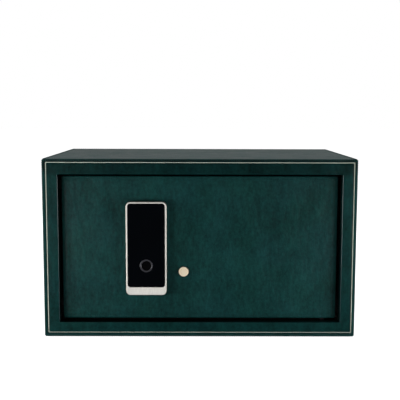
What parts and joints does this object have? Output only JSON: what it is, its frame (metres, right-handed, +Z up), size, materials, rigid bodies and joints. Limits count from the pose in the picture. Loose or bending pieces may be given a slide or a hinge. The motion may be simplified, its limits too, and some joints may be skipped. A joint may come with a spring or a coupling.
{
  "type": "leather-clad electronic safe",
  "caption": "Low box safe in dark green leather with an inset door, upright touch pad with fingerprint ring, capped emergency keyhole, motor-driven bolts and a lined interior.",
  "frame": {"origin": "centre of the footprint on the floor, under the rubber feet", "axes": "+Z up, +X along the width to the viewer's right facing the door, the door faces -Y"},
  "size_m": [0.43, 0.3, 0.2475],
  "materials": {
    "green_leather": "fine-grained, semi-matt dark green",
    "contrast_thread": "waxed cream thread",
    "black_steel": "fine-texture black powder coat",
    "zinc_steel": "zinc-plated",
    "bright_steel": "ground and polished bar",
    "bronze": "oiled sintered bronze",
    "black_rubber": "matt",
    "lining_felt": "charcoal felt",
    "pad_metal": "satin champagne",
    "black_glass": "polished, black-backed",
    "dark_chrome": "dark polished",
    "sensor_black": "gloss",
    "cap_metal": "satin champagne brass",
    "brass": "machined",
    "circuit_board": "solder-masked board",
    "black_plastic": "moulded",
    "cell_jacket": "printed-foil jacket, left plain",
    "contact_nickel": "nickel-plated spring steel",
    "red_plastic": "moulded",
    "motor_metal": "drawn can"
  },
  "bodies": {
    "cabinet": {"steel_wrapper": "black_steel", "back_panel": "black_steel", "door_frame": "black_steel", "top_leather": "green_leather", "bottom_leather": "green_leather", "left_leather": "green_leather", "right_leather": "green_leather", "back_leather": "green_leather", "fascia_leather": "green_leather", "front_binding": "green_leather", "rear_binding": "green_leather", "contrast_stitching": "contrast_thread", "floor_mat": "lining_felt", "back_lining": "lining_felt", "side_linings": "lining_felt", "roof_lining": "lining_felt", "hinge_brackets": "black_steel", "hinge_bushes": "bronze", "door_stops": "black_steel", "stop_bumpers": "black_rubber", "rubber_feet": "black_rubber"},
    "door": {"door_plate": "black_steel", "door_leather": "green_leather", "hinge_blocks": "black_steel", "hinge_pins": "bright_steel", "hinge_spacer": "bronze", "lock_chassis": "zinc_steel", "chassis_screws": "zinc_steel", "bolt_guide": "black_steel", "carriage_posts": "bright_steel", "gear_motor": "motor_metal", "motor_bracket": "zinc_steel", "control_board": "circuit_board", "reset_switch": "black_plastic", "battery_holder": "black_plastic", "battery_cells": "cell_jacket", "battery_contacts": "contact_nickel", "lock_cover": "black_steel", "cover_posts": "zinc_steel", "cover_screws": "zinc_steel", "key_barrel": "brass", "key_barrel_nut": "brass", "pad_housing": "pad_metal", "touch_glass": "black_glass", "sensor_bezel": "dark_chrome", "fingerprint_sensor": "sensor_black", "pad_circuit_board": "circuit_board", "pad_gasket": "black_rubber", "pad_screws": "zinc_steel"},
    "bolt_work": {"bolt_carriage": "zinc_steel", "bolt_lower": "bright_steel", "bolt_upper": "bright_steel", "bolt_screws": "zinc_steel"},
    "pinion": {"drive_pinion": "brass", "motor_shaft": "bright_steel"},
    "key_cylinder": {"key_plug": "brass", "key_cam": "zinc_steel"},
    "keyhole_cap": {"key_cap": "cap_metal"},
    "battery_lid": {"battery_cover": "black_plastic"},
    "reset": {"reset_button": "red_plastic"}
  },
  "joints": [
    {"name": "door_hinge", "type": "hinge", "parent": "cabinet", "child": "door", "pos_m": [0.1728, -0.128, 0.12], "axis": [0, 0, 1], "range_deg": [0, 100]},
    {"name": "bolt_throw", "type": "slide", "parent": "door", "child": "bolt_work", "axis": [-1, 0, 0], "range_m": [0, 0.018]},
    {"name": "drive_pinion_turn", "type": "hinge", "parent": "door", "child": "pinion", "pos_m": [-0.1, -0.1015, 0.091], "axis": [0, -1, 0], "range_deg": [0, 115]},
    {"name": "key_plug_turn", "type": "hinge", "parent": "door", "child": "key_cylinder", "pos_m": [-0.0222, -0.12, 0.0905], "axis": [0, 1, 0], "range_deg": [0, 90]},
    {"name": "key_cap_pull", "type": "slide", "parent": "door", "child": "keyhole_cap", "axis": [0, -1, 0], "range_m": [0, 0.012]},
    {"name": "battery_cover_lift", "type": "slide", "parent": "door", "child": "battery_lid", "axis": [0, 1, 0], "range_m": [0, 0.02]},
    {"name": "reset_button_press", "type": "slide", "parent": "door", "child": "reset", "axis": [0, -1, 0], "range_m": [0, 0.0012], "stiffness_N_per_m": 400, "springref_m": -0.0005}
  ],
  "couplings": [
    {"joint": "drive_pinion_turn", "follows": "bolt_throw", "rad_per_m": 111.11}
  ]
}
